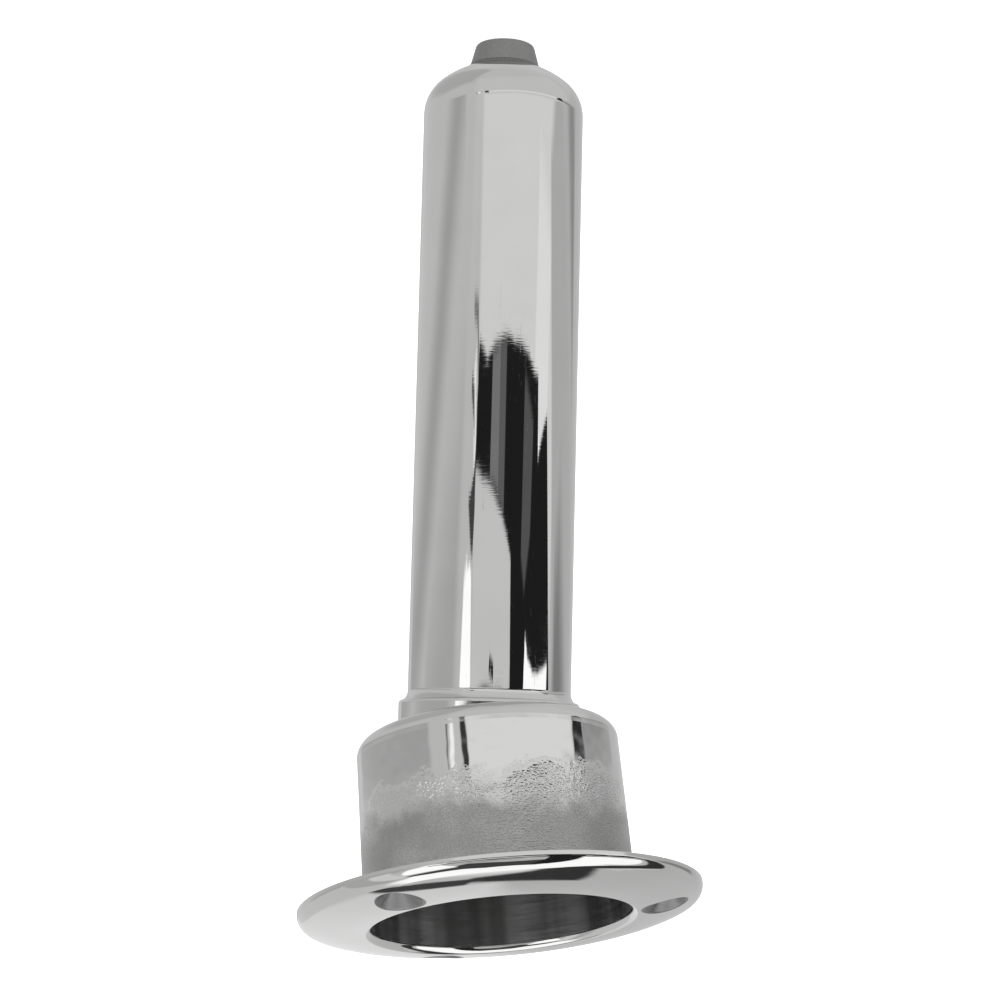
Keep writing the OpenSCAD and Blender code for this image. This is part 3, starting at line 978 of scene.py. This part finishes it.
def make_tent():
    """A closed light tent, painted with its panels. The camera doesn't see it and it casts no shadow."""
    elevations = np.unique(np.concatenate([np.linspace(-90, 90, 181), np.linspace(-12, 18, 151)]))
    azimuth, elevation = np.meshgrid(np.linspace(0, 360, 721), elevations)
    rows, columns = azimuth.shape
    corner = np.arange((rows - 1) * columns).reshape(rows - 1, columns)[:, :-1].ravel()
    faces = np.stack([corner, corner + columns, corner + columns + 1, corner + 1], axis=1)
    mesh = bpy.data.meshes.new("tent")
    mesh.from_pydata(tent_points(azimuth, elevation).reshape(-1, 3).tolist(), [], faces.tolist())
    light = tent_light(azimuth, elevation).ravel().astype(np.float32)
    mesh.attributes.new("glow", "FLOAT", "POINT").data.foreach_set("value", light)
    mesh.materials.append(glow_material())
    tent = bpy.data.objects.new("tent", mesh)
    tent.location = TENT_CENTRE
    tent.visible_camera = False
    tent.visible_shadow = False
    bpy.context.scene.collection.objects.link(tent)


def floor_material():
    """Pale and matte from above, and clear from below, so that the underside can be looked at."""
    material = bpy.data.materials.new("studio_floor")
    material.use_nodes = True
    tree = material.node_tree
    shader = tree.nodes["Principled BSDF"]
    shader.inputs["Base Color"].default_value = (0.9, 0.9, 0.9, 1)
    shader.inputs["Roughness"].default_value = 0.8
    shader.inputs["Specular IOR Level"].default_value = 0.0
    shader.inputs["Emission Color"].default_value = (1, 1, 1, 1)
    shader.inputs["Emission Strength"].default_value = 1.0
    clear = tree.nodes.new("ShaderNodeBsdfTransparent")
    side = tree.nodes.new("ShaderNodeNewGeometry")
    mix = tree.nodes.new("ShaderNodeMixShader")
    tree.links.new(side.outputs["Backfacing"], mix.inputs["Fac"])
    tree.links.new(shader.outputs["BSDF"], mix.inputs[1])
    tree.links.new(clear.outputs["BSDF"], mix.inputs[2])
    tree.links.new(mix.outputs["Shader"], tree.nodes["Material Output"].inputs["Surface"])
    return material


def make_floor_sheet():
    """A plain pale floor just under the drain boss."""
    height = CAD_BOX[0].z - FLOOR_GAP
    corners = [(x * FLOOR_HALF, y * FLOOR_HALF, height) for x, y in ((-1, -1), (1, -1), (1, 1), (-1, 1))]
    mesh = bpy.data.meshes.new("studio_floor")
    mesh.from_pydata(corners, [], [(0, 1, 2, 3)])
    mesh.materials.append(floor_material())
    floor = bpy.data.objects.new("studio_floor", mesh)
    floor.visible_glossy = False
    bpy.context.scene.collection.objects.link(floor)


def make_world():
    world = bpy.data.worlds.new("studio")
    world.use_nodes = True
    world.node_tree.nodes["Background"].inputs["Color"].default_value = (1, 1, 1, 1)
    world.node_tree.nodes["Background"].inputs["Strength"].default_value = 1.0
    bpy.context.scene.world = world
    bpy.context.scene.view_settings.view_transform = "Standard"


def make_object():
    tube_steel = mirror_tube_steel()
    flange_steel = mirror_steel("flange_steel")
    cup_steel = mirror_steel("shoulder_steel", 0.6)
    barrel_steel = cast_cup_steel()
    # The bore materials' dark greys are painted shade inside the tube and the cup.
    bore_painted_shade_steel = brushed_bore_painted_shade_steel("tube_bore_painted_shade_steel", on_tube=True)
    cup_bore_painted_shade_steel = brushed_bore_painted_shade_steel("cup_bore_painted_shade_steel")
    # The countersinks' dark greys are painted shade in the screw holes.
    sink_painted_shade_steel = matte_steel("countersink_painted_shade_steel", (0.12, 0.12, 0.12), (0.3, 0.3, 0.3), 0.35, 900, 0.03 * MM)
    boss_steel = matte_steel("boss_steel", (0.2, 0.2, 0.2), (0.38, 0.38, 0.375), 0.5, 1100, 0.08 * MM)
    bead_steel = matte_steel("bead_steel", (0.4, 0.39, 0.37), (0.55, 0.54, 0.52), 0.3, 500, 0.03 * MM)
    # The boss bead's dark greys are painted shade where the boss meets the dome.
    seat_painted_shade_steel = matte_steel("boss_seat_painted_shade_steel", (0.12, 0.12, 0.12), (0.26, 0.26, 0.25), 0.4, 900, 0.03 * MM)
    pin_steel = matte_steel("pin_steel", (0.45, 0.45, 0.45), (0.58, 0.58, 0.58), 0.25, 300, 0.01 * MM)
    make_flange(flange_steel, sink_painted_shade_steel, cup_bore_painted_shade_steel)
    make_flange_weld(bead_steel)
    make_barrel(barrel_steel, cup_bore_painted_shade_steel)
    make_cup_seam(barrel_steel)
    make_floor(cup_steel)
    make_socket(cup_steel)
    make_socket_weld(tube_steel)
    make_tube(tube_steel, bore_painted_shade_steel)
    make_dome_seam(tube_steel)
    make_dome(tube_steel)
    make_boss(boss_steel)
    make_boss_weld(seat_painted_shade_steel)
    make_pin(pin_steel)
    make_pin_tacks(bead_steel)


make_camera()
make_object()
make_tent()
make_floor_sheet()
make_world()

bpy.context.view_layer.update()
